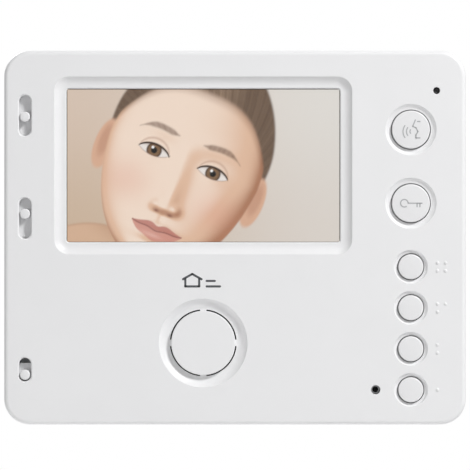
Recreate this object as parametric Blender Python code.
"""Hands-free video intercom monitor for a wall, as an assembly of separate pieces.

Run it with: blender --background --python part.py

The sizes below are in millimetres, and the mesh helpers turn them into Blender's metres.
The frame: +Z is up, +X is to the right of someone who faces the monitor, and the front faces -Y.
Y = 0 is the wall. The origin is on the wall, behind the middle of the monitor.
Places on the front are taken from the edges of the body, so that they follow its size.
"""

import math

import bmesh
import bpy

MM = 0.001

# ---------------------------------------------------------------- driving dimensions

BODY_WIDTH = 160.0
BODY_HEIGHT = 129.6
BODY_DEPTH = 26.0  # from the wall to the front face
CORNER_RADIUS = 9.0
EDGE_RADIUS = 1.6  # rounding of the cover's front edge
COVER_DEPTH = 14.0
WALL = 2.4
GAP = 0.3  # between pieces that touch
RUNNING_GAP = 0.35  # around a key or a knob
OVERRUN = 1.0  # how far a cutter runs past the face it cuts
BITE = 0.5  # how far an added shape reaches into the piece it joins

# screen
WINDOW_WIDTH = 94.8
WINDOW_HEIGHT = 53.2
WINDOW_CORNER = 0.9
WINDOW_FROM_LEFT = 21.6
WINDOW_FROM_TOP = 13.2
COVE_WIDTH = 4.2
COVE_DEPTH = 1.7
PANE_BORDER = 4.0
PANE_THICKNESS = 1.0
MODULE_SIDE_BORDER = 5.35  # from the picture's edge to the module's
MODULE_TOP_BORDER = 4.6
MODULE_FOOT_BORDER = 9.4
BEZEL_SHEET = 0.3
PANEL_THICKNESS = 1.2
BACKLIGHT_THICKNESS = 1.8
HOLDER_WALL = 1.5
HOLDER_CLEARANCE = 0.4
HOLDER_WINDOW_BORDER = 10.0
HOOK_WIDTH = 6.0
HOOK_THICKNESS = 1.2
HOOK_LAP = 1.4
HOOK_TIP = 0.8
RIBBON_WIDTH = 22.0
RIBBON_THICKNESS = 0.3
CONNECTOR_HEIGHT = 4.5
CONNECTOR_SHELL = 0.8

# loudspeaker
SPEAKER_FROM_BOTTOM = 28.3
DISH_RADIUS = 15.4
DISC_RADIUS = 11.1
DISH_DEPTH = 1.8
SOUND_SLOT = 0.5
BRIDGE_WIDTH = 2.0
SPEAKER_PAD = 1.2  # extra wall behind the dish
SLOT_LEDGE = 0.08  # the sound slot is this much narrower on each side than the dish's floor
DISC_WALL = 1.8
SPEAKER_RADIUS = 18.0
SEAT_HOOK_LAP = 1.0
GASKET_WIDTH = 4.0
GASKET_THICKNESS = 0.5
SPEAKER_FLANGE = 1.0
SEAT_DEPTH = 3.0  # how far the wall round the loudspeaker stands from the pad
MAGNET_RADIUS = 9.5
FLANGE_WIDTH = 2.6
BASKET_DEPTH = 4.6
LEAD_FROM_RIM = 4.0  # where the speaker's lead leaves its basket
LEAD_REACH = 9.0  # how far beside the speaker the lead meets the board

# buttons
KEY_COLUMN_FROM_RIGHT = 19.1
TALK_FROM_TOP = 27.4
LARGE_KEY_PITCH = 25.5
SMALL_KEY_FROM_BOTTOM = 12.1
SMALL_KEY_PITCH = 14.2
LARGE_KEY_RADIUS = 6.6
SMALL_KEY_RADIUS = 4.35
KEY_DISH_LARGE = 8.9
KEY_DISH_SMALL = 5.9
KEY_DISH_DEPTH = 0.9
KEY_PROUD = 0.35
KEY_EDGE = 0.45
KEY_TRAVEL = 0.5
KEY_SHELL = 1.3
KEY_STEM_RADIUS = 1.6
COLLAR_LENGTH = 2.2
COLLAR_WALL = 1.3
FLANGE_LAP = 0.9
FLANGE_THICKNESS = 1.0
SWITCH_SIZE = 6.0
SWITCH_HEIGHT = 3.5
SWITCH_ROOF = 0.9
PLUNGER_RADIUS = 1.7
PLUNGER_PROUD = 1.2
PLUNGER_LAP = 0.55
PLUNGER_COLLAR = 0.5
DOT_RADIUS = 0.62
DOT_HEIGHT = 0.35
DOT_PITCH = 2.77
DOT_FROM_KEY = 9.2

# sliders
SLIDER_FROM_WALL = 4.9  # from the cover's side wall to the middle of the slots
SLOT_WIDTH = 4.15
SLOT_CHAMFER = 0.4
LONG_SLOT = 14.05
SHORT_SLOT = 8.1
BRIGHTNESS_FROM_TOP = 22.5
VOLUME_FROM_TOP = 58.1
RINGTONE_FROM_BOTTOM = 19.1
BRIGHTNESS_REST = -0.45  # the knob's place above the middle of its slot
VOLUME_REST = 1.55
RINGTONE_REST = -1.8
KNOB_RADIUS = 1.75
KNOB_PROUD = 0.4
KNOB_EDGE = 0.3
SHUTTER_WIDTH = 6.4
SHUTTER_THICKNESS = 1.2
LONG_SHUTTER = 16.6
SHORT_SHUTTER = 8.0
RAIL_WALL = 0.8
RAIL_HEIGHT = 2.0
SOCKET_WIDTH = 4.4
SOCKET_LENGTH = 5.4
LEVER_THICKNESS = 1.2
LEVER_LENGTH = 3.0
POT_WIDTH = 5.6
POT_HEIGHT = 5.0
POT_END = 3.0  # case beyond the lever's path
LEVER_DIP = 2.7

# microphone and lamp
MIC_FROM_RIGHT = 31.3
MIC_HOLE_RADIUS = 1.6
MIC_RADIUS = 3.0
MIC_THICKNESS = 2.7
BOOT_WALL = 1.2
BOOT_FRONT = 0.9
MIC_SEAT_LENGTH = 2.5
LAMP_FROM_RIGHT = 10.2
LAMP_FROM_TOP = 13.9
LAMP_HOLE_RADIUS = 1.2
LENS_RADIUS = 0.85
LENS_FLANGE = 1.8
LENS_STEM = 4.0
LED_RADIUS = 1.5
LAMP_TUBE_WALL = 0.9
LAMP_TUBE_LENGTH = 2.0

# board, screws and back
BOARD_THICKNESS = 1.6
BOARD_CLEARANCE = 0.5  # from the rear housing's lip to the board's edge
BOARD_SETBACK = 1.0  # board's front face, ahead of the cover's rear edge
POST_RADIUS = 2.8
POST_SCREW_RADIUS = 1.0
PILOT_FLOOR = 2.0  # from the face's inside to the bottom of a screw's hole
SCREW_END_ROOM = 2.0
SCREW_POINT = 1.0
BOARD_SCREW_LENGTH = 6.0
BOARD_HEAD_RADIUS = 2.0
BOARD_HEAD_HEIGHT = 1.4
CHIP_SIZE = 14.0
CHIP_THICKNESS = 1.4
COIL_SIZE = 10.0
CAN_RADIUS = 3.2
PARTS_ROW_Z = 18.0
WAY_COUNT = 6
WAY_PITCH = 5.0
BOSS_FROM_SIDE = 9.0
BOSS_FROM_END = 5.8
BOSS_RADIUS = 3.0
CASE_SCREW_RADIUS = 1.3
HEAD_RADIUS = 2.6
HEAD_HEIGHT = 1.8
REAR_INSET = 1.2
REAR_WALL = 2.0
LIP_LENGTH = 2.8
LIP_WALL = 1.4
PANEL_FROM_WALL = 4.2  # back panel's outer face
PANEL_WALL = 2.0
SKIRT_CLEARANCE = 0.4
WELL_RADIUS = 4.0
CABLE_BELOW_MIDDLE = 22.0
CABLE_WIDTH = 38.0
CABLE_HEIGHT = 28.0
VENT_COUNT = 9
VENT_PITCH = 5.0
VENT_WIDTH = 1.8
VENT_LENGTH = 14.0
VENT_ABOVE_MIDDLE = 48.0

# wall bracket
BRACKET_WIDTH = 130.0
BRACKET_HEIGHT = 100.0
BRACKET_CORNER = 4.0
BRACKET_SHEET = 1.2
BRACKET_CABLE_WIDTH = 40.0
BRACKET_CABLE_HEIGHT = 32.0
ROUND_BOX_PITCH = 60.0
WIDE_BOX_PITCH = 83.5
SCREW_SLOT_WIDTH = 4.6
SCREW_SLOT_LENGTH = 9.0
PLUG_HOLE_FROM_SIDE = 9.0
PLUG_HOLE_FROM_END = 8.0
HOOK_SIDE = 50.0
HOOK_HEIGHTS = (28.0, -40.0)  # underside of each hook's foot, above the middle
BRACKET_HOOK_WIDTH = 8.0
BRACKET_HOOK_RISE = 5.0
LIFT = 5.0  # how far the monitor lifts to come off the hooks

# fineness of the round stretches
CORNER_STEPS = 5
EDGE_STEPS = 2
COVE_STEPS = 2
ROUND = 24
SMALL_ROUND = 16
TINY_ROUND = 8
DOT_ROUND = 6

# ---------------------------------------------------------------- places worked out from them

LEFT = -BODY_WIDTH / 2
RIGHT = BODY_WIDTH / 2
TOP = BODY_HEIGHT / 2
BOTTOM = -BODY_HEIGHT / 2

FACE_Y = -BODY_DEPTH
INNER_Y = FACE_Y + WALL
COVER_BACK_Y = FACE_Y + COVER_DEPTH
BOARD_FRONT_Y = COVER_BACK_Y - BOARD_SETBACK
BOARD_BACK_Y = BOARD_FRONT_Y + BOARD_THICKNESS
BOARD_INSET = WALL + GAP + LIP_WALL + BOARD_CLEARANCE
REAR_FRONT_Y = COVER_BACK_Y + GAP
PANEL_BACK_Y = -PANEL_FROM_WALL
PANEL_FRONT_Y = PANEL_BACK_Y - PANEL_WALL

WINDOW_X = LEFT + WINDOW_FROM_LEFT + WINDOW_WIDTH / 2
WINDOW_Z = TOP - WINDOW_FROM_TOP - WINDOW_HEIGHT / 2
PANE_FRONT_Y = INNER_Y + GAP
PANE_BACK_Y = PANE_FRONT_Y + PANE_THICKNESS
BEZEL_FRONT_Y = PANE_BACK_Y + GAP
PANEL_GLASS_Y = BEZEL_FRONT_Y + BEZEL_SHEET + GAP
BACKLIGHT_Y = PANEL_GLASS_Y + PANEL_THICKNESS + GAP
MODULE_BACK_Y = BACKLIGHT_Y + BACKLIGHT_THICKNESS
HOLDER_FRONT_Y = MODULE_BACK_Y + GAP
HOLDER_BACK_Y = HOLDER_FRONT_Y + HOLDER_WALL
MODULE_WIDTH = WINDOW_WIDTH + 2 * MODULE_SIDE_BORDER
MODULE_HEIGHT = WINDOW_HEIGHT + MODULE_TOP_BORDER + MODULE_FOOT_BORDER
MODULE_Z = WINDOW_Z + WINDOW_HEIGHT / 2 + MODULE_TOP_BORDER - MODULE_HEIGHT / 2
HOLDER_WIDTH = MODULE_WIDTH + 2 * (HOLDER_CLEARANCE + HOLDER_WALL)
HOLDER_HEIGHT = MODULE_HEIGHT + 2 * (HOLDER_CLEARANCE + HOLDER_WALL)

SPEAKER_X = WINDOW_X
SPEAKER_Z = BOTTOM + SPEAKER_FROM_BOTTOM
SPEAKER_PAD_Y = INNER_Y + SPEAKER_PAD
SPEAKER_RING_RADIUS = SPEAKER_RADIUS + 1.6
SEAT_END_Y = SPEAKER_PAD_Y + SEAT_DEPTH
RIBBON_FRONT_Y = SEAT_END_Y + GAP + RIBBON_THICKNESS / 2  # the flat cable passes behind the seat's wall
RIBBON_BACK_Y = BOARD_FRONT_Y - GAP - 1.0
RIBBON_BEND = (RIBBON_BACK_Y - RIBBON_FRONT_Y) / 2

KEY_X = RIGHT - KEY_COLUMN_FROM_RIGHT
COLLAR_END_Y = INNER_Y + COLLAR_LENGTH
FLANGE_Y = COLLAR_END_Y + GAP
SWITCH_FRONT_Y = BOARD_FRONT_Y - GAP - SWITCH_HEIGHT
PLUNGER_TIP_Y = SWITCH_FRONT_Y - PLUNGER_PROUD
STEM_END_Y = PLUNGER_TIP_Y - GAP

SLIDER_X = LEFT + WALL + SLIDER_FROM_WALL
SHUTTER_Y = INNER_Y + GAP
SHUTTER_BACK_Y = SHUTTER_Y + SHUTTER_THICKNESS
POT_FRONT_Y = BOARD_FRONT_Y - GAP - POT_HEIGHT
SOCKET_END_Y = POT_FRONT_Y - 2 * GAP

MIC_X = RIGHT - MIC_FROM_RIGHT
MIC_Z = BOTTOM + SMALL_KEY_FROM_BOTTOM
LAMP_X = RIGHT - LAMP_FROM_RIGHT
LAMP_Z = TOP - LAMP_FROM_TOP

BOSSES = [(sx * (RIGHT - BOSS_FROM_SIDE), sz * (TOP - BOSS_FROM_END)) for sx in (-1, 1) for sz in (1, -1)]
POST_SIDE_X = WINDOW_X + HOLDER_WIDTH / 2 + HOOK_THICKNESS + POST_RADIUS + 1.0
POSTS = [
    (POST_SIDE_X, TOP - 13.0),
    (POST_SIDE_X, MODULE_Z - HOLDER_HEIGHT / 2 - 15.0),
    (WINDOW_X - HOLDER_WIDTH / 2 + 8.0, MODULE_Z - HOLDER_HEIGHT / 2 - POST_RADIUS - 2.4),
    (WINDOW_X - HOLDER_WIDTH / 2 + 8.0, BOTTOM + 9.8),
]

# name, radius, dish radius, height of the centre, raised dots as (column, row)
KEYS = [
    ("talk", LARGE_KEY_RADIUS, KEY_DISH_LARGE, TOP - TALK_FROM_TOP, []),
    ("door_release", LARGE_KEY_RADIUS, KEY_DISH_LARGE, TOP - TALK_FROM_TOP - LARGE_KEY_PITCH, []),
]
DOT_PATTERNS = [
    [(0, 0), (1, 0), (0, 1), (1, 1)],
    [(0, 0), (1, 0), (0, 1)],
    [(0, 0), (0, 1)],
    [(0, 0.5)],
]
for place, dots in enumerate(DOT_PATTERNS):
    height = BOTTOM + SMALL_KEY_FROM_BOTTOM + (len(DOT_PATTERNS) - 1 - place) * SMALL_KEY_PITCH
    KEYS.append((f"function_{len(DOT_PATTERNS) - place}", SMALL_KEY_RADIUS, KEY_DISH_SMALL, height, dots))

# name, slot length, shutter length, height of the slot's middle, knob's rest above it
SLIDERS = [
    ("brightness", LONG_SLOT, LONG_SHUTTER, TOP - BRIGHTNESS_FROM_TOP, BRIGHTNESS_REST),
    ("volume", LONG_SLOT, LONG_SHUTTER, TOP - VOLUME_FROM_TOP, VOLUME_REST),
    ("ringtone", SHORT_SLOT, SHORT_SHUTTER, BOTTOM + RINGTONE_FROM_BOTTOM, RINGTONE_REST),
]

# ---------------------------------------------------------------- scene and materials


def clear_scene():
    for obj in list(bpy.data.objects):
        bpy.data.objects.remove(obj)


def material(name, colour, roughness, metallic=0.0):
    """A Principled material. colour is red, green and blue from 0 to 1."""
    made = bpy.data.materials.get(name) or bpy.data.materials.new(name)
    made.use_nodes = True
    shader = made.node_tree.nodes["Principled BSDF"]
    shader.inputs["Base Color"].default_value = (*colour, 1.0)
    shader.inputs["Roughness"].default_value = roughness
    shader.inputs["Metallic"].default_value = metallic
    return made


def plastics_and_metals():
    """One material for each finish, by name."""
    return {
        "white_abs": material("white_abs", (0.82, 0.82, 0.82), 0.32),
        "key_abs": material("key_abs", (0.86, 0.86, 0.86), 0.30),
        "inner_abs": material("inner_abs", (0.55, 0.55, 0.55), 0.5),
        "clear_acrylic": material("clear_acrylic", (0.80, 0.83, 0.85), 0.05),
        "screen_glass": material("screen_glass", (0.62, 0.50, 0.40), 0.15),
        "backlight_white": material("backlight_white", (0.9, 0.9, 0.9), 0.6),
        "tin_plate": material("tin_plate", (0.60, 0.61, 0.62), 0.35, 1.0),
        "zinc_steel": material("zinc_steel", (0.62, 0.63, 0.64), 0.38, 1.0),
        "green_laminate": material("green_laminate", (0.03, 0.17, 0.07), 0.45),
        "chip_black": material("chip_black", (0.02, 0.02, 0.02), 0.55),
        "ferrite": material("ferrite", (0.05, 0.05, 0.055), 0.6),
        "black_foam": material("black_foam", (0.02, 0.02, 0.02), 0.95),
        "black_rubber": material("black_rubber", (0.03, 0.03, 0.03), 0.8),
        "paper_cone": material("paper_cone", (0.05, 0.05, 0.05), 0.9),
        "terminal_green": material("terminal_green", (0.05, 0.28, 0.10), 0.45),
        "amber_film": material("amber_film", (0.45, 0.20, 0.04), 0.4),
        "smoked_lens": material("smoked_lens", (0.02, 0.02, 0.02), 0.15),
        "led_epoxy": material("led_epoxy", (0.75, 0.70, 0.35), 0.2),
        "wire_black": material("wire_black", (0.03, 0.03, 0.03), 0.5),
    }


# ---------------------------------------------------------------- outlines, as (x, z) points


def rounded_rectangle(width, height, radius, steps=CORNER_STEPS):
    """Corner arcs of a rectangle centred on the origin, counter-clockwise."""
    points = []
    for side, end, start in ((1, 1, 0), (-1, 1, 90), (-1, -1, 180), (1, -1, 270)):
        for step in range(steps + 1):
            angle = math.radians(start + 90 * step / steps)
            points.append(
                (
                    side * (width / 2 - radius) + radius * math.cos(angle),
                    end * (height / 2 - radius) + radius * math.sin(angle),
                )
            )
    return points


def body_outline(inset):
    return rounded_rectangle(BODY_WIDTH - 2 * inset, BODY_HEIGHT - 2 * inset, CORNER_RADIUS - inset)


def window_outline(border):
    return rounded_rectangle(WINDOW_WIDTH + 2 * border, WINDOW_HEIGHT + 2 * border, WINDOW_CORNER + border)


def stadium(width, height, steps=CORNER_STEPS):
    """A slot with round ends, along the longer side."""
    return rounded_rectangle(width, height, min(width, height) / 2 - 0.001, steps)


def box_outline(width, height):
    return [(width / 2, height / 2), (-width / 2, height / 2), (-width / 2, -height / 2),
            (width / 2, -height / 2)]


def arc_band(inner, outer, start, end, steps):
    """A piece of a flat ring, between two angles in degrees."""
    angles = [math.radians(start + (end - start) * step / steps) for step in range(steps + 1)]
    out = [(outer * math.cos(a), outer * math.sin(a)) for a in angles]
    back = [(inner * math.cos(a), inner * math.sin(a)) for a in reversed(angles)]
    return out + back


# ---------------------------------------------------------------- solids


def to_object(name, bm, x=0.0, y=0.0, z=0.0):
    """Turns a bmesh into a linked object at a place given in millimetres."""
    bmesh.ops.recalc_face_normals(bm, faces=bm.faces)
    mesh = bpy.data.meshes.new(name)
    bm.to_mesh(mesh)
    bm.free()
    obj = bpy.data.objects.new(name, mesh)
    obj.location = (x * MM, y * MM, z * MM)
    bpy.context.scene.collection.objects.link(obj)
    return obj


def loft(name, sections, x=0.0, z=0.0):
    """A closed skin through (outline, y) sections whose outlines have the same number of points.

    The first outline is filled, its rim is extruded from each section to the next,
    and the last rim is filled.
    """
    bm = bmesh.new()
    outline, y = sections[0]
    rim = [bm.verts.new((px * MM, y * MM, pz * MM)) for px, pz in outline]
    bm.faces.new(rim)
    for outline, y in sections[1:]:
        edges = [bm.edges.get((rim[place - 1], rim[place])) for place in range(len(rim))]
        made = set(bmesh.ops.extrude_edge_only(bm, edges=edges)["geom"])
        rim = [next(e.other_vert(v) for e in v.link_edges if e.other_vert(v) in made) for v in rim]
        for vert, (px, pz) in zip(rim, outline):
            vert.co = (px * MM, y * MM, pz * MM)
    bm.faces.new(rim)
    return to_object(name, bm, x, 0.0, z)


def prism(name, outline, y_front, y_back, x=0.0, z=0.0):
    """An outline with a straight depth."""
    return loft(name, [(outline, y_front), (outline, y_back)], x, z)


def lathe(name, profile, x=0.0, z=0.0, segments=SMALL_ROUND):
    """A solid turned about a Y axis from (radius, y) points. A profile off the axis is closed into a ring."""
    bm = bmesh.new()
    verts = [bm.verts.new((radius * MM, y * MM, 0.0)) for radius, y in profile]
    edges = [bm.edges.new(pair) for pair in zip(verts, verts[1:])]
    if profile[0][0] > 0 and profile[-1][0] > 0:
        edges.append(bm.edges.new((verts[-1], verts[0])))
    bmesh.ops.spin(
        bm,
        geom=verts + edges,
        cent=(0, 0, 0),
        axis=(0, 1, 0),
        angle=2 * math.pi,
        steps=segments,
        use_merge=True,
    )
    bmesh.ops.remove_doubles(bm, verts=bm.verts, dist=1e-7)
    return to_object(name, bm, x, 0.0, z)


def cylinder(name, radius, y_front, y_back, x=0.0, z=0.0, segments=SMALL_ROUND):
    return lathe(name, [(0, y_front), (radius, y_front), (radius, y_back), (0, y_back)], x, z, segments)


def helper(obj):
    """Marks a cutter or an added shape, which isn't a piece of its own."""
    obj.hide_render = True
    obj.display_type = "WIRE"
    return obj


def boolean(target, operands, operation):
    """One exact Boolean between a piece and a set of shapes, which may overlap each other."""
    group = bpy.data.collections.new(f"{target.name}_{operation.lower()}")
    for operand in operands:
        group.objects.link(helper(operand))
    modifier = target.modifiers.new(group.name, "BOOLEAN")
    modifier.operation = operation
    modifier.solver = "EXACT"
    modifier.operand_type = "COLLECTION"
    modifier.collection = group
    return target


def cut(target, *cutters):
    return boolean(target, cutters, "DIFFERENCE")


def join(target, *additions):
    return boolean(target, additions, "UNION")


def cove_steps():
    """Pairs of (share of the width, share of the depth) of a hollow that is steep outside and flat inside."""
    for step in range(COVE_STEPS + 1):
        across = step / COVE_STEPS
        yield across, 1 - (1 - across) ** 2


def dish_profile(outer, inner, depth):
    """(radius, y) points of a round cove cut into the face."""
    return [(outer - (outer - inner) * across, FACE_Y + depth * down) for across, down in cove_steps()]


def finish(obj, finish_name, finishes, parent):
    """Gives a piece its material, smooth round faces and parent."""
    obj.data.materials.clear()
    obj.data.materials.append(finishes[finish_name])
    obj.data.shade_smooth()
    obj.data.set_sharp_from_angle(angle=math.radians(30))
    obj.parent = parent
    obj.location = [place - origin for place, origin in zip(obj.location, parent.location)]
    return obj


def body_empty(name, x=0.0, y=0.0, z=0.0):
    """The empty that a moving body's pieces hang from, on its joint's axis."""
    empty = bpy.data.objects.new(name, None)
    empty.location = (x * MM, y * MM, z * MM)
    bpy.context.scene.collection.objects.link(empty)
    return empty


# ---------------------------------------------------------------- front cover


def cover_blank():
    """The cover's shell: a rounded tray that is open to the rear."""
    sections = [(body_outline(WALL), INNER_Y), (body_outline(WALL), COVER_BACK_Y),
                (body_outline(0.0), COVER_BACK_Y)]
    for step in range(EDGE_STEPS + 1):
        angle = math.radians(90 * step / EDGE_STEPS)
        inset = EDGE_RADIUS * (1 - math.cos(angle))
        sections.append((body_outline(inset), FACE_Y + EDGE_RADIUS * (1 - math.sin(angle))))
    return loft("front_cover", sections)


def cover_bosses():
    """Screw bosses and board posts, each as a plain column from the inside of the face."""
    for number, (x, z) in enumerate(BOSSES, 1):
        yield cylinder(f"boss_{number}", BOSS_RADIUS, INNER_Y - BITE, COVER_BACK_Y, x, z)
    for number, (x, z) in enumerate(POSTS, 1):
        yield cylinder(f"post_{number}", POST_RADIUS, INNER_Y - BITE, BOARD_FRONT_Y - GAP, x, z)


def speaker_seat():
    """The pad behind the dish, the wall round the loudspeaker and three hooks over its flange."""
    bore = SPEAKER_RADIUS + GAP
    cup = [
        (0, INNER_Y - BITE), (SPEAKER_RING_RADIUS, INNER_Y - BITE), (SPEAKER_RING_RADIUS, SEAT_END_Y),
        (bore, SEAT_END_Y), (bore, SPEAKER_PAD_Y), (0, SPEAKER_PAD_Y),
    ]
    yield lathe("speaker_seat", cup, SPEAKER_X, SPEAKER_Z, ROUND)
    for number, middle in enumerate((30, 150, 270), 1):
        band = arc_band(SPEAKER_RADIUS - SEAT_HOOK_LAP, SPEAKER_RING_RADIUS - BITE, middle - 8, middle + 8, 2)
        yield prism(f"speaker_hook_{number}", band, SEAT_END_Y - 0.6, SEAT_END_Y + 0.8, SPEAKER_X, SPEAKER_Z)


def key_collars():
    for name, radius, _, z, _ in KEYS:
        outer = radius + RUNNING_GAP + COLLAR_WALL
        yield cylinder(f"{name}_collar", outer, INNER_Y - BITE, COLLAR_END_Y, KEY_X, z, SMALL_ROUND)


def slider_rails():
    """Two ribs that guide each slider's shutter."""
    for name, _, shutter, z, _ in SLIDERS:
        for side in (-1, 1):
            x = SLIDER_X + side * (SHUTTER_WIDTH / 2 + GAP + RAIL_WALL / 2)
            rail = box_outline(RAIL_WALL, shutter)
            yield prism(f"{name}_rail_{side + 2}", rail, INNER_Y - BITE, INNER_Y + RAIL_HEIGHT, x, z)


def display_hooks():
    """Four snap hooks that hold the display's holder from behind."""
    for side in (-1, 1):
        x = WINDOW_X + side * (HOLDER_WIDTH / 2 + HOLDER_CLEARANCE + HOOK_THICKNESS / 2)
        for rank, z in enumerate((MODULE_Z - HOLDER_HEIGHT / 4, MODULE_Z + HOLDER_HEIGHT / 4)):
            name = f"display_hook_{side + 2}_{rank}"
            stem = box_outline(HOOK_THICKNESS, HOOK_WIDTH)
            yield prism(name, stem, INNER_Y - BITE, HOLDER_BACK_Y + GAP + HOOK_TIP, x, z)
            nose = box_outline(HOOK_THICKNESS + HOOK_LAP, HOOK_WIDTH - 0.4)
            nose_x = x - side * 0.8
            yield prism(f"{name}_nose", nose, HOLDER_BACK_Y + GAP, HOLDER_BACK_Y + GAP + HOOK_TIP - 0.2,
                        nose_x, z)


def small_seats():
    """The collar round the microphone's boot and the tube round the lamp's lens."""
    boot = MIC_RADIUS + BOOT_WALL + 2 * GAP
    seat = [(boot, INNER_Y - BITE), (boot + BOOT_WALL, INNER_Y - BITE)]
    seat += [(boot + BOOT_WALL, INNER_Y + MIC_SEAT_LENGTH), (boot, INNER_Y + MIC_SEAT_LENGTH)]
    yield lathe("mic_seat", seat, MIC_X, MIC_Z, SMALL_ROUND)
    tube = LENS_FLANGE + GAP
    walls = [(tube, INNER_Y - BITE), (tube + LAMP_TUBE_WALL, INNER_Y - BITE)]
    walls += [(tube + LAMP_TUBE_WALL, INNER_Y + LAMP_TUBE_LENGTH), (tube, INNER_Y + LAMP_TUBE_LENGTH)]
    yield lathe("lamp_seat", walls, LAMP_X, LAMP_Z, TINY_ROUND)


def window_cutter():
    """The cove round the screen, and the window at its foot."""
    sections = [(window_outline(COVE_WIDTH), FACE_Y - OVERRUN)]
    for across, down in cove_steps():
        sections.append((window_outline(COVE_WIDTH * (1 - across)), FACE_Y + COVE_DEPTH * down))
    sections.append((window_outline(0.0), INNER_Y + OVERRUN))
    yield loft("window_cutter", sections, WINDOW_X, WINDOW_Z)


def speaker_cutters():
    """The round cove that leaves a flat disc, four sound slots at the disc's foot and the hollow behind it.

    The stretches between the slots are the bridges that hold the disc.
    """
    slot = DISC_RADIUS + SOUND_SLOT
    ring = [(DISH_RADIUS, FACE_Y - OVERRUN), *dish_profile(DISH_RADIUS, slot, DISH_DEPTH)]
    ring += [(DISC_RADIUS, FACE_Y + DISH_DEPTH), (DISC_RADIUS, FACE_Y - OVERRUN)]
    yield lathe("speaker_dish", ring, SPEAKER_X, SPEAKER_Z, ROUND)
    bridge = math.degrees(BRIDGE_WIDTH / 2 / DISC_RADIUS)
    for quarter in range(4):
        start, end = 90 * quarter + bridge, 90 * (quarter + 1) - bridge
        band = arc_band(DISC_RADIUS + SLOT_LEDGE, slot - SLOT_LEDGE, start, end, ROUND // 4)
        yield prism(f"sound_slot_{quarter}", band, FACE_Y + 1.0, SPEAKER_PAD_Y + OVERRUN, SPEAKER_X,
                    SPEAKER_Z)
    hollow = DISC_RADIUS - DISC_WALL
    yield cylinder("disc_hollow", hollow, FACE_Y + DISC_WALL, SPEAKER_PAD_Y + OVERRUN, SPEAKER_X, SPEAKER_Z,
                   ROUND)


def key_cutters():
    for name, radius, dish, z, _ in KEYS:
        hole = radius + RUNNING_GAP
        profile = [(0, FACE_Y - OVERRUN), (dish, FACE_Y - OVERRUN), *dish_profile(dish, hole, KEY_DISH_DEPTH)]
        profile += [(hole, COLLAR_END_Y + OVERRUN), (0, COLLAR_END_Y + OVERRUN)]
        yield lathe(f"{name}_hole", profile, KEY_X, z, ROUND)


def slot_cutters():
    """Slider slots with a chamfered mouth."""
    for name, length, _, z, _ in SLIDERS:
        mouth = stadium(SLOT_WIDTH + 2 * SLOT_CHAMFER, length + 2 * SLOT_CHAMFER, 3)
        slot = stadium(SLOT_WIDTH, length, 3)
        sections = [(mouth, FACE_Y - OVERRUN), (mouth, FACE_Y), (slot, FACE_Y + SLOT_CHAMFER),
                    (slot, INNER_Y + OVERRUN)]
        yield loft(f"{name}_slot", sections, SLIDER_X, z)


def small_hole_cutters():
    yield cylinder("mic_hole", MIC_HOLE_RADIUS, FACE_Y - OVERRUN, INNER_Y + OVERRUN, MIC_X, MIC_Z,
                   SMALL_ROUND)
    yield cylinder("lamp_hole", LAMP_HOLE_RADIUS, FACE_Y - OVERRUN, INNER_Y + OVERRUN, LAMP_X, LAMP_Z,
                   SMALL_ROUND)
    floor = INNER_Y + PILOT_FLOOR
    for number, (x, z) in enumerate(BOSSES, 1):
        pilot = CASE_SCREW_RADIUS + GAP
        yield cylinder(f"boss_pilot_{number}", pilot, floor, COVER_BACK_Y + OVERRUN, x, z, TINY_ROUND)
    for number, (x, z) in enumerate(POSTS, 1):
        pilot = POST_SCREW_RADIUS + GAP
        yield cylinder(f"post_pilot_{number}", pilot, floor, BOARD_FRONT_Y + OVERRUN, x, z, TINY_ROUND)


def raised_dots():
    """Domes beside the four function buttons, which count them by touch."""
    dome = [(0, FACE_Y - DOT_HEIGHT), (DOT_RADIUS * 0.7, FACE_Y - DOT_HEIGHT * 0.7), (DOT_RADIUS, FACE_Y)]
    profile = [*dome, (DOT_RADIUS, FACE_Y + 0.4), (0, FACE_Y + 0.4)]
    for name, _, _, z, dots in KEYS:
        for number, (column, row) in enumerate(dots, 1):
            x = KEY_X + DOT_FROM_KEY + column * DOT_PITCH
            dot_z = z + DOT_PITCH / 2 - row * DOT_PITCH
            yield lathe(f"{name}_dot_{number}", profile, x, dot_z, DOT_ROUND)


def make_front_cover():
    cover = cover_blank()
    seats = [*speaker_seat(), *key_collars(), *slider_rails(), *display_hooks(), *small_seats()]
    join(cover, *cover_bosses(), *seats, *raised_dots())
    holes = [*speaker_cutters(), *key_cutters(), *slot_cutters(), *small_hole_cutters()]
    return cut(cover, *window_cutter(), *holes)


# ---------------------------------------------------------------- rear housing


def make_rear_housing():
    """A tray whose back panel is set in, so that the bracket lies inside its skirt."""
    inner = body_outline(REAR_INSET + REAR_WALL)
    outer = body_outline(REAR_INSET)
    lip_outer = body_outline(WALL + GAP)
    lip_inner = body_outline(WALL + GAP + LIP_WALL)
    lip_front = REAR_FRONT_Y - LIP_LENGTH
    housing = loft(
        "rear_housing",
        [
            (inner, PANEL_FRONT_Y), (inner, REAR_FRONT_Y + 1.4), (lip_inner, REAR_FRONT_Y + 0.6),
            (lip_inner, lip_front),
            (lip_outer, lip_front), (lip_outer, REAR_FRONT_Y), (outer, REAR_FRONT_Y),
            (outer, -SKIRT_CLEARANCE),
            (inner, -SKIRT_CLEARANCE), (inner, PANEL_BACK_Y),
        ],
    )
    notches = [
        cylinder(f"lip_notch_{number}", BOSS_RADIUS + 2 * GAP, lip_front - OVERRUN, REAR_FRONT_Y + 0.1, x, z)
        for number, (x, z) in enumerate(BOSSES, 1)
    ]
    wells = [
        cylinder(f"well_{number}", WELL_RADIUS, REAR_FRONT_Y + 0.3, PANEL_FRONT_Y + 0.5, x, z)
        for number, (x, z) in enumerate(BOSSES, 1)
    ]
    cut(housing, *notches)
    join(housing, *wells)
    cut(housing, *well_bores(), *hook_slots(), *cable_and_vents())
    return housing


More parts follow.
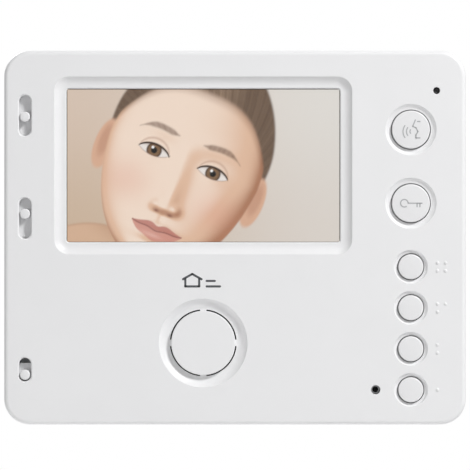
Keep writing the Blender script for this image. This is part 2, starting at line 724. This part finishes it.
def well_bores():
    """The screw's hole and the wider seat for its head, behind each boss."""
    seat = REAR_FRONT_Y + REAR_WALL
    hole, head = CASE_SCREW_RADIUS + GAP, HEAD_RADIUS + GAP
    for number, (x, z) in enumerate(BOSSES, 1):
        profile = [(0, REAR_FRONT_Y - OVERRUN), (hole, REAR_FRONT_Y - OVERRUN), (hole, seat)]
        profile += [(head, seat), (head, OVERRUN), (0, OVERRUN)]
        yield lathe(f"well_bore_{number}", profile, x, z, TINY_ROUND)


def hook_slots():
    """Slots that the bracket's hooks come through, long enough to lift the monitor off them."""
    for side in (-1, 1):
        for rank, foot in enumerate(HOOK_HEIGHTS):
            low, high = foot - LIFT - 0.4, foot + BRACKET_HOOK_RISE + 0.4
            slot = box_outline(BRACKET_HOOK_WIDTH + 1.2, high - low)
            name = f"hook_slot_{side + 2}_{rank}"
            yield prism(name, slot, PANEL_FRONT_Y - OVERRUN, OVERRUN, side * HOOK_SIDE, (low + high) / 2)


def cable_and_vents():
    """The cable's opening and a row of vents, through the back panel."""
    cable = rounded_rectangle(CABLE_WIDTH, CABLE_HEIGHT, 2.0, 3)
    yield prism("cable_cutter", cable, PANEL_FRONT_Y - OVERRUN, OVERRUN, 0.0, -CABLE_BELOW_MIDDLE)
    for number in range(VENT_COUNT):
        x = (number - (VENT_COUNT - 1) / 2) * VENT_PITCH
        vent = stadium(VENT_WIDTH, VENT_LENGTH, 2)
        yield prism(f"vent_{number}", vent, PANEL_FRONT_Y - OVERRUN, OVERRUN, x, VENT_ABOVE_MIDDLE)


# ---------------------------------------------------------------- wall bracket


def bracket_hook(name, x, foot):
    """A tongue bent forward from the sheet and then up, in one piece with the bracket."""
    tip = PANEL_FRONT_Y - GAP - BRACKET_SHEET
    arm = box_outline(BRACKET_HOOK_WIDTH, BRACKET_SHEET)
    strip = prism(name, arm, tip, -BRACKET_SHEET / 2, x, foot + BRACKET_SHEET / 2)
    rise = box_outline(BRACKET_HOOK_WIDTH - 0.02, BRACKET_HOOK_RISE)
    return strip, prism(f"{name}_tip", rise, tip, tip + BRACKET_SHEET, x, foot + BRACKET_HOOK_RISE / 2)


def bracket_openings():
    """The cable's opening, slots for two sizes of wall box, four plug holes and the hooks' punched windows."""
    front, back = -BRACKET_SHEET - OVERRUN, OVERRUN
    cable = rounded_rectangle(BRACKET_CABLE_WIDTH, BRACKET_CABLE_HEIGHT, 3.0, 3)
    yield prism("bracket_cable", cable, front, back, 0.0, -CABLE_BELOW_MIDDLE)
    for side in (-1, 1):
        for rank, pitch in enumerate((ROUND_BOX_PITCH, WIDE_BOX_PITCH)):
            slot = stadium(SCREW_SLOT_LENGTH, SCREW_SLOT_WIDTH, 4)
            yield prism(f"box_slot_{side + 2}_{rank}", slot, front, back, side * pitch / 2,
                        -CABLE_BELOW_MIDDLE)
        for end in (-1, 1):
            x = side * (BRACKET_WIDTH / 2 - PLUG_HOLE_FROM_SIDE)
            z = end * (BRACKET_HEIGHT / 2 - PLUG_HOLE_FROM_END)
            yield cylinder(f"plug_hole_{side + 2}_{end + 2}", SCREW_SLOT_WIDTH / 2, front, back, x, z,
                           TINY_ROUND + 4)
        for rank, foot in enumerate(HOOK_HEIGHTS):
            blank_height = -PANEL_FRONT_Y + BRACKET_HOOK_RISE
            window = box_outline(BRACKET_HOOK_WIDTH + 1.0, blank_height)
            window_z = foot + BRACKET_SHEET + blank_height / 2
            yield prism(f"hook_window_{side + 2}_{rank}", window, front, back, side * HOOK_SIDE, window_z)


def make_wall_bracket():
    outline = rounded_rectangle(BRACKET_WIDTH, BRACKET_HEIGHT, BRACKET_CORNER, 4)
    bracket = prism("wall_bracket", outline, -BRACKET_SHEET, 0.0)
    cut(bracket, *bracket_openings())
    hooks = []
    for side in (-1, 1):
        for rank, foot in enumerate(HOOK_HEIGHTS):
            hooks += bracket_hook(f"bracket_hook_{side + 2}_{rank}", side * HOOK_SIDE, foot)
    return join(bracket, *hooks)


# ---------------------------------------------------------------- display


def make_display(finishes, parent):
    border = PANE_BORDER
    pane = prism("display_window", window_outline(border), PANE_FRONT_Y, PANE_BACK_Y, WINDOW_X, WINDOW_Z)
    finish(pane, "clear_acrylic", finishes, parent)

    case = box_outline(MODULE_WIDTH, MODULE_HEIGHT)
    bezel = prism("display_bezel", case, BEZEL_FRONT_Y, MODULE_BACK_Y, WINDOW_X, MODULE_Z)
    hollow = box_outline(MODULE_WIDTH - 2 * BEZEL_SHEET, MODULE_HEIGHT - 2 * BEZEL_SHEET)
    sight = box_outline(WINDOW_WIDTH + 1.2, WINDOW_HEIGHT + 1.2)
    cut(
        bezel,
        prism("bezel_hollow", hollow, BEZEL_FRONT_Y + BEZEL_SHEET, MODULE_BACK_Y + OVERRUN, WINDOW_X,
              MODULE_Z),
        prism("bezel_sight", sight, BEZEL_FRONT_Y - OVERRUN, BEZEL_FRONT_Y + OVERRUN, WINDOW_X, WINDOW_Z),
    )
    finish(bezel, "tin_plate", finishes, parent)

    inside = 2 * (BEZEL_SHEET + GAP)
    glass = box_outline(MODULE_WIDTH - inside, MODULE_HEIGHT - inside)
    panel = prism("display_panel", glass, PANEL_GLASS_Y, PANEL_GLASS_Y + PANEL_THICKNESS, WINDOW_X, MODULE_Z)
    finish(panel, "screen_glass", finishes, parent)
    light = prism("display_backlight", glass, BACKLIGHT_Y, MODULE_BACK_Y, WINDOW_X, MODULE_Z)
    finish(light, "backlight_white", finishes, parent)

    tray = box_outline(HOLDER_WIDTH, HOLDER_HEIGHT)
    holder = prism("display_holder", tray, BEZEL_FRONT_Y, HOLDER_BACK_Y, WINDOW_X, MODULE_Z)
    bay = box_outline(HOLDER_WIDTH - 2 * HOLDER_WALL, HOLDER_HEIGHT - 2 * HOLDER_WALL)
    opening = box_outline(MODULE_WIDTH - 2 * HOLDER_WINDOW_BORDER, MODULE_HEIGHT - 2 * HOLDER_WINDOW_BORDER)
    notch = box_outline(RIBBON_WIDTH + 4.0, 3 * HOLDER_WALL)
    low = MODULE_Z - HOLDER_HEIGHT / 2
    cut(
        holder,
        prism("holder_bay", bay, BEZEL_FRONT_Y - OVERRUN, HOLDER_FRONT_Y, WINDOW_X, MODULE_Z),
        prism("holder_opening", opening, HOLDER_FRONT_Y - OVERRUN, HOLDER_BACK_Y + OVERRUN, WINDOW_X,
              MODULE_Z),
        prism("holder_notch", notch, BEZEL_FRONT_Y - OVERRUN, HOLDER_FRONT_Y, WINDOW_X, low),
    )
    finish(holder, "inner_abs", finishes, parent)


def make_ribbon(finishes, parent):
    """The flat cable that leaves the display's lower edge, bends back and plugs into the board."""
    start_z = MODULE_Z - MODULE_HEIGHT / 2 - GAP
    bend_z = MODULE_Z - HOLDER_HEIGHT / 2 - 1.2
    back_y, front_y = RIBBON_BACK_Y, RIBBON_FRONT_Y
    centre_y = back_y - RIBBON_BEND
    outer, inner = RIBBON_BEND + RIBBON_THICKNESS / 2, RIBBON_BEND - RIBBON_THICKNESS / 2
    plug_z = bend_z + 2.0
    angles = [math.radians(step * 180 / 8) for step in range(9)]
    outside = [(centre_y - outer * math.cos(a), bend_z - outer * math.sin(a)) for a in angles]
    inside = [(centre_y - inner * math.cos(a), bend_z - inner * math.sin(a)) for a in reversed(angles)]
    section = [(front_y - RIBBON_THICKNESS / 2, start_z), *outside, (back_y + RIBBON_THICKNESS / 2, plug_z)]
    section += [(back_y - RIBBON_THICKNESS / 2, plug_z), *inside, (front_y + RIBBON_THICKNESS / 2, start_z)]
    bm = bmesh.new()
    verts = [bm.verts.new((-RIBBON_WIDTH / 2 * MM, y * MM, z * MM)) for y, z in section]
    face = bm.faces.new(verts)
    moved = bmesh.ops.extrude_face_region(bm, geom=[face])["geom"]
    across = [v for v in moved if isinstance(v, bmesh.types.BMVert)]
    bmesh.ops.translate(bm, verts=across, vec=(RIBBON_WIDTH * MM, 0, 0))
    finish(to_object("display_ribbon", bm, WINDOW_X), "amber_film", finishes, parent)

    socket = box_outline(RIBBON_WIDTH + 3.0, CONNECTOR_HEIGHT)
    top = plug_z + GAP + CONNECTOR_HEIGHT / 2
    connector = prism("ribbon_connector", socket, back_y - CONNECTOR_SHELL, BOARD_FRONT_Y - GAP, WINDOW_X,
                      top)
    finish(connector, "inner_abs", finishes, parent)


# ---------------------------------------------------------------- loudspeaker, microphone, lamp


def make_speaker(finishes, parent):
    gasket_y = SPEAKER_PAD_Y + GAP
    flange_y = gasket_y + GASKET_THICKNESS + GAP
    x, z = SPEAKER_X, SPEAKER_Z
    rim = SPEAKER_RADIUS
    hole, gasket_back = rim - GASKET_WIDTH, gasket_y + GASKET_THICKNESS
    ring = [(hole, gasket_y), (rim, gasket_y), (rim, gasket_back), (hole, gasket_back)]
    finish(lathe("speaker_gasket", ring, x, z, ROUND), "black_foam", finishes, parent)

    back = flange_y + BASKET_DEPTH
    throat = rim - FLANGE_WIDTH
    basket = [
        (throat, flange_y), (rim, flange_y), (rim, flange_y + SPEAKER_FLANGE),
        (throat + 1.0, flange_y + SPEAKER_FLANGE),
        (throat + 0.8, flange_y + 1.8), (12.0, back), (MAGNET_RADIUS - 3.0, back),
        (MAGNET_RADIUS - 3.0, back - 0.8),
        (11.6, back - 0.8), (throat, flange_y + 1.6),
    ]
    finish(lathe("speaker_frame", basket, x, z, ROUND), "zinc_steel", finishes, parent)

    edge = throat - GAP
    cone = [
        (0, flange_y + 1.0), (2.8, flange_y + 1.6), (4.2, flange_y + 2.8), (11.0, flange_y + 0.9),
        (12.6, flange_y + 0.3),
        (edge, flange_y + 0.5), (edge, flange_y + 0.9), (12.6, flange_y + 0.8), (11.2, flange_y + 1.4),
        (4.6, flange_y + 3.3), (3.8, flange_y + 3.3), (2.5, flange_y + 2.1), (0, flange_y + 1.5),
    ]
    finish(lathe("speaker_cone", cone, x, z, ROUND), "paper_cone", finishes, parent)

    magnet = cylinder("speaker_magnet", MAGNET_RADIUS, back + GAP, BOARD_FRONT_Y - 3 * GAP, x, z, ROUND)
    finish(magnet, "ferrite", finishes, parent)


def make_microphone(finishes, parent):
    y = INNER_Y + GAP
    outer, inner = MIC_RADIUS + BOOT_WALL + GAP, MIC_RADIUS + GAP
    front = BOOT_FRONT
    end = y + front + GAP + MIC_THICKNESS + GAP
    boot = [(MIC_HOLE_RADIUS, y), (outer, y), (outer, end), (inner, end)]
    boot += [(inner, y + front), (MIC_HOLE_RADIUS, y + front)]
    finish(lathe("microphone_boot", boot, MIC_X, MIC_Z), "black_rubber", finishes, parent)
    face = y + front + GAP
    capsule = [(0, face), (MIC_RADIUS - 0.3, face), (MIC_RADIUS, face + 0.3)]
    capsule += [(MIC_RADIUS, face + MIC_THICKNESS), (0, face + MIC_THICKNESS)]
    finish(lathe("microphone_capsule", capsule, MIC_X, MIC_Z), "tin_plate", finishes, parent)


def make_lamp(finishes, parent):
    flange_y = INNER_Y + GAP
    lens = [
        (0, FACE_Y + 1.2), (LENS_RADIUS, FACE_Y + 1.2), (LENS_RADIUS, flange_y), (LENS_FLANGE, flange_y),
        (LENS_FLANGE, flange_y + 1.0), (LENS_RADIUS, flange_y + 1.0), (LENS_RADIUS, flange_y + LENS_STEM),
        (0, flange_y + LENS_STEM),
    ]
    finish(lathe("lamp_lens", lens, LAMP_X, LAMP_Z, TINY_ROUND), "smoked_lens", finishes, parent)
    tip = flange_y + LENS_STEM + GAP
    dome = [(0, tip), (LED_RADIUS * 0.7, tip + 0.4), (LED_RADIUS, tip + 1.4)]
    led = [*dome, (LED_RADIUS, BOARD_FRONT_Y - 1.3), (LED_RADIUS + 0.35, BOARD_FRONT_Y - 1.3)]
    led += [(LED_RADIUS + 0.35, BOARD_FRONT_Y - GAP), (0, BOARD_FRONT_Y - GAP)]
    finish(lathe("status_lamp", led, LAMP_X, LAMP_Z, TINY_ROUND), "led_epoxy", finishes, parent)


# ---------------------------------------------------------------- board and what is soldered to it


def make_board(finishes, parent):
    outline = rounded_rectangle(BODY_WIDTH - 2 * BOARD_INSET, BODY_HEIGHT - 2 * BOARD_INSET, 3.0, 3)
    board = prism("main_board", outline, BOARD_FRONT_Y, BOARD_BACK_Y)
    front, back = BOARD_FRONT_Y - OVERRUN, BOARD_BACK_Y + OVERRUN
    notch, hole = WELL_RADIUS + 0.4, POST_SCREW_RADIUS + GAP
    cutters = [cylinder(f"board_notch_{number}", notch, front, back, *place) for number,
               place in enumerate(BOSSES, 1)]
    cutters += [
        cylinder(f"board_hole_{number}", hole, front, back, *place, TINY_ROUND) for number,
        place in enumerate(POSTS, 1)
    ]
    cut(board, *cutters)
    finish(board, "green_laminate", finishes, parent)

    chip_back = BOARD_BACK_Y + GAP + CHIP_THICKNESS
    chip = prism("video_processor", box_outline(CHIP_SIZE, CHIP_SIZE), BOARD_BACK_Y + GAP, chip_back, -24.0,
                 PARTS_ROW_Z)
    finish(chip, "chip_black", finishes, parent)
    outline = rounded_rectangle(COIL_SIZE, COIL_SIZE, COIL_SIZE / 4, 3)
    coil = prism("power_inductor", outline, BOARD_BACK_Y + GAP, PANEL_FRONT_Y - 1.0, 26.0, PARTS_ROW_Z)
    finish(coil, "ferrite", finishes, parent)
    can_x = POST_SIDE_X
    can = cylinder("filter_capacitor", CAN_RADIUS, INNER_Y + 3.0, BOARD_FRONT_Y - GAP, can_x, MODULE_Z - 8.0)
    finish(can, "wire_black", finishes, parent)

    block_z = -CABLE_BELOW_MIDDLE - CABLE_HEIGHT / 2 + 5.6
    outline = box_outline(WAY_COUNT * WAY_PITCH, 8.0)
    block = prism("terminal_block", outline, BOARD_BACK_Y + GAP, PANEL_BACK_Y - 0.6, 0.0, block_z)
    way_places = [(way - (WAY_COUNT - 1) / 2) * WAY_PITCH for way in range(WAY_COUNT)]
    ways = [
        prism(f"terminal_way_{way}", box_outline(3.0, 3.0), PANEL_BACK_Y - 5.6, 0.0, way_x, block_z + 0.8)
        for way, way_x in enumerate(way_places)
    ]
    cut(block, *ways)
    finish(block, "terminal_green", finishes, parent)


def make_screws(finishes, parent):
    for number, (x, z) in enumerate(BOSSES, 1):
        seat = REAR_FRONT_Y + REAR_WALL + GAP
        tip = INNER_Y + PILOT_FLOOR + GAP + SCREW_END_ROOM
        profile = [(0, tip), (CASE_SCREW_RADIUS, tip + SCREW_POINT), (CASE_SCREW_RADIUS, seat)]
        profile.append((HEAD_RADIUS, seat))
        profile += [(HEAD_RADIUS, seat + 1.1), (HEAD_RADIUS * 0.6, seat + HEAD_HEIGHT),
                    (0, seat + HEAD_HEIGHT)]
        finish(lathe(f"case_screw_{number}", profile, x, z, TINY_ROUND), "zinc_steel", finishes, parent)
    for number, (x, z) in enumerate(POSTS, 1):
        seat = BOARD_BACK_Y + GAP
        tip = BOARD_FRONT_Y - BOARD_SCREW_LENGTH
        profile = [(0, tip), (POST_SCREW_RADIUS, tip + SCREW_POINT), (POST_SCREW_RADIUS, seat)]
        profile.append((BOARD_HEAD_RADIUS, seat))
        profile += [(BOARD_HEAD_RADIUS, seat + 0.9), (BOARD_HEAD_RADIUS * 0.6, seat + BOARD_HEAD_HEIGHT)]
        profile.append((0, seat + BOARD_HEAD_HEIGHT))
        finish(lathe(f"board_screw_{number}", profile, x, z, TINY_ROUND), "zinc_steel", finishes, parent)


def lead(name, points, radius, finishes, parent):
    """A thin lead along a smooth line, as a filled tube."""
    curve = bpy.data.curves.new(name, "CURVE")
    curve.dimensions = "3D"
    curve.bevel_depth = radius * MM
    curve.bevel_resolution = 1
    curve.use_fill_caps = True
    spline = curve.splines.new("POLY")
    spline.points.add(len(points) - 1)
    for point, (x, y, z) in zip(spline.points, points):
        point.co = (x * MM, y * MM, z * MM, 1.0)
    obj = bpy.data.objects.new(name, curve)
    bpy.context.scene.collection.objects.link(obj)
    curve.materials.append(finishes["wire_black"])
    obj.parent = parent
    return obj


def eased_route(start, end, sag, count=9):
    """Points from start to end that leave and arrive along Y, bowed by sag along Z."""
    points = []
    for step in range(count):
        t = step / (count - 1)
        smooth = t * t * (3 - 2 * t)
        bow = math.sin(math.pi * t) * sag
        x = start[0] + (end[0] - start[0]) * smooth
        y = start[1] + (end[1] - start[1]) * t
        z = start[2] + (end[2] - start[2]) * smooth + bow
        points.append((x, y, z))
    return points


def make_leads(finishes, parent):
    board_end = BOARD_FRONT_Y - GAP - 0.1
    rim_back = SPEAKER_PAD_Y + GAP + GASKET_THICKNESS + GAP + SPEAKER_FLANGE
    start = (SPEAKER_X + SPEAKER_RADIUS - LEAD_FROM_RIM, rim_back + 3.2, SPEAKER_Z + 3.0)
    end = (SPEAKER_X + SPEAKER_RADIUS + LEAD_REACH, board_end, SPEAKER_Z + 6.0)
    lead("speaker_lead", eased_route(start, end, 3.0), 0.6, finishes, parent)
    capsule_end = INNER_Y + GAP + BOOT_FRONT + GAP + MIC_THICKNESS + GAP + 0.1
    start = (MIC_X, capsule_end, MIC_Z)
    end = (MIC_X - 8.0, board_end, MIC_Z + 2.0)
    lead("microphone_lead", eased_route(start, end, -1.0), 0.5, finishes, parent)


# ---------------------------------------------------------------- moving bodies


def make_key(name, radius, z, finishes):
    """A button cap with a flange behind the cover's collar, and the plunger of the switch under it."""
    axis = body_empty(f"{name}_button_axis", KEY_X, FACE_Y, z)
    hole = radius + RUNNING_GAP
    flange = hole + FLANGE_LAP
    crown = FACE_Y - KEY_PROUD
    shell = radius - KEY_SHELL
    profile = [
        (0, crown), (radius - KEY_EDGE, crown), (radius, crown + KEY_EDGE), (radius, FLANGE_Y),
        (flange, FLANGE_Y),
        (flange, FLANGE_Y + FLANGE_THICKNESS), (shell, FLANGE_Y + FLANGE_THICKNESS),
        (shell, crown + KEY_SHELL),
        (KEY_STEM_RADIUS, crown + KEY_SHELL), (KEY_STEM_RADIUS, STEM_END_Y), (0, STEM_END_Y),
    ]
    finish(lathe(f"{name}_button", profile, KEY_X, z, ROUND), "key_abs", finishes, axis)

    chamber = SWITCH_FRONT_Y + SWITCH_ROOF
    collar = PLUNGER_RADIUS + PLUNGER_LAP
    plunger = [(0, PLUNGER_TIP_Y), (PLUNGER_RADIUS, PLUNGER_TIP_Y), (PLUNGER_RADIUS, chamber + GAP)]
    plunger += [(collar, chamber + GAP), (collar, chamber + GAP + PLUNGER_COLLAR)]
    plunger.append((0, chamber + GAP + PLUNGER_COLLAR))
    finish(lathe(f"{name}_plunger", plunger, KEY_X, z, TINY_ROUND), "chip_black", finishes, axis)


def make_switch(name, z, finishes, parent):
    """The switch's body: a square block with a chamber that keeps the plunger's collar under its roof."""
    back = BOARD_FRONT_Y - GAP
    block = prism(f"{name}_switch", box_outline(SWITCH_SIZE, SWITCH_SIZE), SWITCH_FRONT_Y, back, KEY_X, z)
    chamber = SWITCH_FRONT_Y + SWITCH_ROOF
    mouth, room = PLUNGER_RADIUS + GAP, PLUNGER_RADIUS + PLUNGER_LAP + GAP
    floor = chamber + GAP + PLUNGER_COLLAR + KEY_TRAVEL + GAP
    hollow = [(0, SWITCH_FRONT_Y - OVERRUN), (mouth, SWITCH_FRONT_Y - OVERRUN), (mouth, chamber)]
    hollow += [(room, chamber), (room, floor), (0, floor)]
    cut(block, lathe(f"{name}_chamber", hollow, KEY_X, z, TINY_ROUND))
    finish(block, "chip_black", finishes, parent)


def slider_travel(slot):
    """How far the knob can go to either side of the slot's middle."""
    return slot / 2 - KNOB_RADIUS - GAP


def make_slider(name, slot, shutter, z, rest, finishes, parent):
    """A shutter behind the slot with its knob and socket, the lever, and the body it slides in."""
    knob_z = z + rest
    axis = body_empty(f"{name}_slider_axis", SLIDER_X, FACE_Y, knob_z)
    plate = prism(f"{name}_slider", box_outline(SHUTTER_WIDTH, shutter), SHUTTER_Y, SHUTTER_BACK_Y, SLIDER_X,
                  knob_z)
    top = FACE_Y - KNOB_PROUD
    knob = [(0, top), (KNOB_RADIUS - KNOB_EDGE, top), (KNOB_RADIUS, top + KNOB_EDGE)]
    knob += [(KNOB_RADIUS, SHUTTER_Y + BITE), (0, SHUTTER_Y + BITE)]
    socket = box_outline(SOCKET_WIDTH, SOCKET_LENGTH)
    join(
        plate,
        lathe(f"{name}_knob", knob, SLIDER_X, knob_z),
        prism(f"{name}_socket", socket, SHUTTER_BACK_Y - BITE, SOCKET_END_Y, SLIDER_X, knob_z),
    )
    slit = box_outline(LEVER_THICKNESS + 2 * GAP, LEVER_LENGTH + 2 * GAP)
    cut(plate, prism(f"{name}_slit", slit, SHUTTER_BACK_Y + 0.4, SOCKET_END_Y + OVERRUN, SLIDER_X, knob_z))
    finish(plate, "key_abs", finishes, axis)

    foot_y = POT_FRONT_Y + LEVER_DIP
    tip_y = SHUTTER_BACK_Y + 0.4 + GAP
    blade = prism(f"{name}_lever", box_outline(LEVER_THICKNESS, LEVER_LENGTH), tip_y, foot_y, SLIDER_X,
                  knob_z)
    finish(blade, "chip_black", finishes, axis)

    reach = 2 * slider_travel(slot) + LEVER_LENGTH
    case = box_outline(POT_WIDTH, reach + 2 * POT_END)
    pot = prism(f"{name}_control", case, POT_FRONT_Y, BOARD_FRONT_Y - GAP, SLIDER_X, z)
    track = box_outline(LEVER_THICKNESS + 2 * GAP, reach + 2 * GAP)
    cut(pot, prism(f"{name}_track", track, POT_FRONT_Y - OVERRUN, foot_y + GAP, SLIDER_X, z))
    finish(pot, "tin_plate", finishes, parent)


# ---------------------------------------------------------------- assembly


def main():
    clear_scene()
    finishes = plastics_and_metals()
    wall = body_empty("wall")
    monitor = body_empty("monitor")
    finish(make_wall_bracket(), "zinc_steel", finishes, wall)
    finish(make_front_cover(), "white_abs", finishes, monitor)
    finish(make_rear_housing(), "white_abs", finishes, monitor)
    make_display(finishes, monitor)
    make_ribbon(finishes, monitor)
    make_speaker(finishes, monitor)
    make_microphone(finishes, monitor)
    make_lamp(finishes, monitor)
    make_board(finishes, monitor)
    make_screws(finishes, monitor)
    make_leads(finishes, monitor)
    for name, radius, _, z, _ in KEYS:
        make_key(name, radius, z, finishes)
        make_switch(name, z, finishes, monitor)
    for name, slot, shutter, z, rest in SLIDERS:
        make_slider(name, slot, shutter, z, rest, finishes, monitor)


main()
